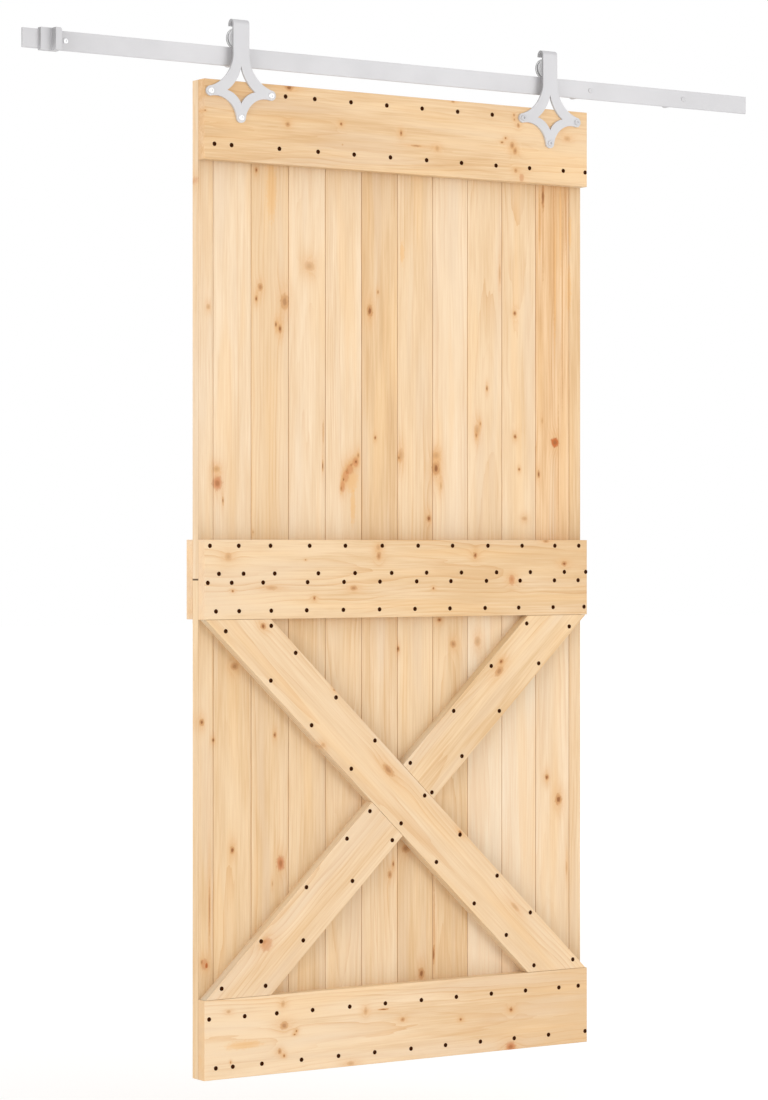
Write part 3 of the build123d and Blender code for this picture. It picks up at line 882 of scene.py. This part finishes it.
# Black wood screws: flat heads with a cross recess, four wings round. Sizes in millimetres.
screws = {
    "radius": 4.9,
    "proud": 1.0,
    "wings": 4,
    "wing": 2.6,
    "web": 1.15,
    "floor": 0.12,
    "recessShare": 0.5,  # the recess floor's radius as a share of its mouth's
    "flatShare": 0.8,  # the flat top's radius as a share of the head's
    "sunk": 0.05,
    "tipShare": 0.7,
    "shank": 2.6,
    "colour": (0.042, 0.0095, 0.001, 1),
    "wearAndShade": (0.056, 0.015, 0.002, 1),
    "clouds": (800, 800, 800),
    "wearAndShadeFade": (0.4, 0.8),
    "roughness": 0.7,
    "roughnessRange": 0.25,
    "specular": 0.05,
    # rows of one screw a board: height above the foot, first and last board, and how far the screws lean
    # off the boards' middles: on the first, on the second, on the third, on most, on the last
    "rows": [
        (2076.5, 3, 9, 0, 0, 23, 3, 0),
        (1964.4, 1, 12, 8, -15, 7, 12, 10),
        (1121.2, 1, 12, -3, 1, -13, -10, -8),
        (1062.2, 1, 12, 19, 13, -3, 14, 13),
        (1043.4, 1, 12, -9, -17, -32, -14, -9),
        (983.4, 1, 12, 9, 2, -11, -17, 7),
        (128.6, 1, 12, -6, 15, 3, -1, -10),
        (24.8, 1, 12, 11, -14, -36, -29, 10),
    ],
    "wander": 1.5,
    "backRows": (1110, 990),
    # along the braces: edge, distance up or down from it, millimetres from the door's left edge
    "braceRows": [
        ("longUpper", 14, (164, 225, 327, 427, 557, 651, 751, 842, 960)),
        ("longLower", 22, (52, 163, 265, 366, 495, 588, 689)),
        ("longLower", 30, (776, 852)),
        ("shortUpper", 14, (832, 735, 634, 519, 414, 355, 252, 139, 42)),
        ("shortLower", 18, (950, 865, 757, 656, 576, 472)),
        ("shortLower", 34, (369, 244, 150)),
    ],
}
boardMiddles = []
for number in range(1, boardCount + 1):
    low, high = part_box(f"upper_board_{number:02d}")
    boardMiddles.append((low.x + boardRight(number, high)) / 2 - doorLeft)
drive = np.random.default_rng(5)
places = []
for height, firstBoard, lastBoard, onFirst, onSecond, onThird, onMost, onLast in screws["rows"]:
    leans = {1: onFirst, 2: onSecond, 3: onThird, boardCount: onLast}
    for number in range(firstBoard, lastBoard + 1):
        lean = leans.get(number, onMost) + drive.uniform(-1, 1) * screws["wander"]
        places.append((boardMiddles[number - 1] / mm + lean, height))
bayHigh = (longHigh.z - doorFoot) / mm
slope = braceFall / braceRun
endWidth = braceCut / mm
longLeft = (longLow.x - doorLeft) / mm
longRight = (longHigh.x - doorLeft) / mm
# where each edge meets the middle batten, which way it runs down, and which way the screws lie from it
edges = {
    "longUpper": (longLeft + endWidth, -1, -1),
    "longLower": (longLeft, -1, 1),
    "shortUpper": (longRight - endWidth, 1, -1),
    "shortLower": (longRight, 1, 1),
}
for edge, inset, row in screws["braceRows"]:
    start, way, up = edges[edge]
    places += [(s, bayHigh + way * (s - start) * slope + up * inset) for s in row]
places = np.array(places) * mm
faceY = np.full(len(places), battenFace)
screwCentres = np.stack([doorLeft + places[:, 0], faceY, doorFoot + places[:, 1]], -1)
# rows of a head: recess floor, recess mouth, flat top's edge, rim
recess = np.tile([screws["wing"], screws["web"], screws["web"]], screws["wings"])
circle = np.full(len(recess), screws["radius"])
screwRadius = np.stack([screws["recessShare"] * recess, recess, screws["flatShare"] * circle, circle]) * mm
rise = np.array([screws["floor"], screws["proud"], screws["proud"], -screws["sunk"]])
screwHeight = np.repeat(rise[:, None], len(recess), 1) * mm
screwPoles = (screws["tipShare"] * screws["floor"] * mm, -screws["shank"] * mm)


def blackMaterial():
    material, shader, start = newMaterial("black_phosphate")
    spot = start.node("ShaderNodeTexCoord", out="Object")
    cloud = noiseAt(spot, screws["clouds"])
    wearAndShade = fade(cloud, *screws["wearAndShadeFade"])
    plug(lay(screws["colour"], screws["wearAndShade"], wearAndShade), shader, "Base Color")
    plug(screws["roughness"] + cloud * screws["roughnessRange"], shader, "Roughness")
    shader.inputs["Specular IOR Level"].default_value = screws["specular"]
    return material


blackSteel = blackMaterial()
frontTurns = drive.uniform(0, fullTurn, len(screwCentres))
screwMesh = headMesh("front_screws", screwRadius, screwHeight, screwPoles, screwCentres, frontTurns)
addPiece("front_screws", screwMesh, blackSteel, "door", smooth=False)
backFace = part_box("back_batten")[1].y
backPlaces = [
    (doorLeft + middle + drive.uniform(-1, 1) * screws["wander"] * mm, backFace, doorFoot + height * mm)
    for height in screws["backRows"]
    for middle in boardMiddles
]
backTurns = drive.uniform(0, fullTurn, len(backPlaces))
backMesh = headMesh("back_screws", screwRadius, screwHeight, screwPoles, backPlaces, backTurns, facing=1.0)
addPiece("back_screws", backMesh, blackSteel, "door", smooth=False)
print("screws driven:", len(screwCentres) + len(backPlaces))

# Bolts: button heads with a hexagon socket; the rail's are low, and all but the left one are painted over.
# Sizes in millimetres.
bolts = {
    "sectors": 48,
    "domeRows": 9,
    "colour": (0.88, 0.88, 0.89, 1),
    "dull": (0.74, 0.75, 0.78, 1),
    "clouds": (260, 260, 260),
    "cloudDetail": 3.0,
    "dullFade": (0.45, 0.8),
    "roughness": 0.38,
    "roughnessRange": 0.2,
    "bump": 0.06,
    "bumpDepth": 0.1 * mm,
    "metallic": 0.4,
    "hangerRadius": 6.8,
    "railRadius": 6.0,
    "rise": 3.6,
    "railRise": 2.2,
    "rimShare": 0.25,  # height of the rim as a share of the head's
    "flatShare": 0.5,  # radius of the flat top as a share of the head's
    "socketShare": 0.36,  # half width of the socket as a share of the head's radius
    "socketTaper": 0.94,
    "socketMiddle": 0.5,
    "socket": 0.3,  # height of the socket's floor as a share of the head's
    "filled": 0.94,
    "sunk": 0.1,
    "shank": 0.6,
}


# Radius of a regular hexagon with this half width, at each angle
def hexagon(halfWidth, angle):
    return halfWidth / np.cos((angle % (np.pi / 3)) - np.pi / 6)


# Rows: socket floor, socket mouth, then a quarter ellipse from the flat top down to the rim
def buttonHead(radius, rise, floor):
    angle = np.arange(bolts["sectors"]) * fullTurn / bolts["sectors"]
    level = np.ones((1, len(angle)))
    socket = hexagon(bolts["socketShare"] * radius, angle)
    turn = np.linspace(0, np.pi / 2, bolts["domeRows"])[:, None]
    flat = bolts["flatShare"] * radius
    rim = bolts["rimShare"] * rise
    dome = flat + (radius - flat) * np.sin(turn) * level
    domeHeight = rim + (rise - rim) * np.cos(turn) * level
    floorRows = [bolts["socketMiddle"] * socket, bolts["socketTaper"] * socket, socket]
    rows = np.concatenate([floorRows, dome, radius * level])
    bottom = floor * rise * level
    heights = np.concatenate([bottom, bottom, rise * level, domeHeight, -bolts["sunk"] * level])
    return rows * mm, heights * mm, (floor * rise * mm, -bolts["shank"] * mm)


def zincMaterial():
    material, shader, start = newMaterial("bright_zinc")
    spot = start.node("ShaderNodeTexCoord", out="Object")
    cloud = noiseAt(spot, bolts["clouds"], bolts["cloudDetail"])
    plug(lay(bolts["colour"], bolts["dull"], fade(cloud, *bolts["dullFade"])), shader, "Base Color")
    shader.inputs["Metallic"].default_value = bolts["metallic"]
    plug(bolts["roughness"] + (cloud - 0.5) * bolts["roughnessRange"], shader, "Roughness")
    bumped(shader, cloud, bolts["bump"], bolts["bumpDepth"])
    return material


zinc = zincMaterial()
hangerPlaces = []
nutPlaces = []
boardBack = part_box("upper_board_01")[1].y
armHalf = 10.75 * mm  # half the width of a star plate's arm
footDrop = 52 * mm  # from the side bolts down to the lowest one
for side in ("left", "right"):
    low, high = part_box(f"{side}_hanger")
    middle = (low.x + high.x) / 2
    reach = (high.x - low.x) / 2 - armHalf
    foot = low.z + armHalf
    for x, z in ((middle - reach, foot + footDrop), (middle + reach, foot + footDrop), (middle, foot)):
        hangerPlaces.append((x, low.y, z))
        nutPlaces.append((x, boardBack, z))
boltTurns = drive.uniform(0, fullTurn, len(hangerPlaces))
each = len(hangerPlaces) // 2  # bolts in one hanger
hangerHead = buttonHead(bolts["hangerRadius"], bolts["rise"], bolts["socket"])
leftMesh = headMesh("left_hanger_bolts", *hangerHead, hangerPlaces[:each], boltTurns[:each])
addPiece("left_hanger_bolts", leftMesh, zinc, "door")
rightMesh = headMesh("right_hanger_bolts", *hangerHead, hangerPlaces[each:], boltTurns[each:])
addPiece("right_hanger_bolts", rightMesh, shadedPaint, "door")
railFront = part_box("rail_bar")[0].y
railPlaces = []
for name in spacers:
    low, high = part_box(name)
    railPlaces.append(((low.x + high.x) / 2, railFront, (low.z + high.z) / 2))
railTurns = drive.uniform(0, fullTurn, len(railPlaces))
railHead = buttonHead(bolts["railRadius"], bolts["railRise"], bolts["socket"])
brightMesh = headMesh("rail_bolt_bright", *railHead, railPlaces[:1], railTurns[:1])
addPiece("rail_bolt_bright", brightMesh, zinc, "rail")
paintedHead = buttonHead(bolts["railRadius"], bolts["railRise"], bolts["filled"])
railMesh = headMesh("rail_bolts", *paintedHead, railPlaces[1:], railTurns[1:])
addPiece("rail_bolts", railMesh, railPaint, "rail")

# Nuts behind the boards: a washer, a hexagon with rounded corners, and the bolt's end. Sizes in millimetres.
nuts = {
    "sectors": 48,
    "washer": 9.0,
    "washerRise": 1.6,
    "washerEase": 0.3,
    "halfWidth": 6.5,
    "rise": 6.5,
    "chamferShare": 1.04,  # radius of the top face as a share of the half width
    "chamfer": 0.7,
    "bolt": 4.0,
    "boltRise": 8.0,
    "boltTip": 0.8,  # radius of the bolt's tip as a share of the bolt's
    "boltEase": 0.6,
    "sunk": 0.1,
    "shank": 0.5,
}


# Rows: bolt's tip, bolt's edge, bolt's foot, top of the nut, its corners above and below, washer
def nutHead():
    angle = np.arange(nuts["sectors"]) * fullTurn / nuts["sectors"]
    circle = np.ones_like(angle)
    sides = hexagon(nuts["halfWidth"], angle)
    chamfered = np.minimum(sides, nuts["chamferShare"] * nuts["halfWidth"])
    top = nuts["washerRise"] + nuts["rise"]
    end = nuts["washerRise"] + nuts["boltRise"]
    rows = [
        (nuts["boltTip"] * nuts["bolt"] * circle, end),
        (nuts["bolt"] * circle, end - nuts["boltEase"]),
        (nuts["bolt"] * circle, top),
        (chamfered, top),
        (sides, top - nuts["chamfer"]),
        (sides, nuts["washerRise"]),
        ((nuts["washer"] - nuts["washerEase"]) * circle, nuts["washerRise"]),
        (nuts["washer"] * circle, nuts["washerRise"] - nuts["washerEase"]),
        (nuts["washer"] * circle, -nuts["sunk"]),
    ]
    radius = np.stack([row for row, level in rows])
    height = np.stack([level * circle for row, level in rows])
    return radius * mm, height * mm, (end * mm, -nuts["shank"] * mm)


nutTurns = drive.uniform(0, fullTurn, len(nutPlaces))
nutMesh = headMesh("hanger_nuts", *nutHead(), nutPlaces, nutTurns, facing=1.0)
addPiece("hanger_nuts", nutMesh, zinc, "door", smooth=False)
print("bolts and nuts set")
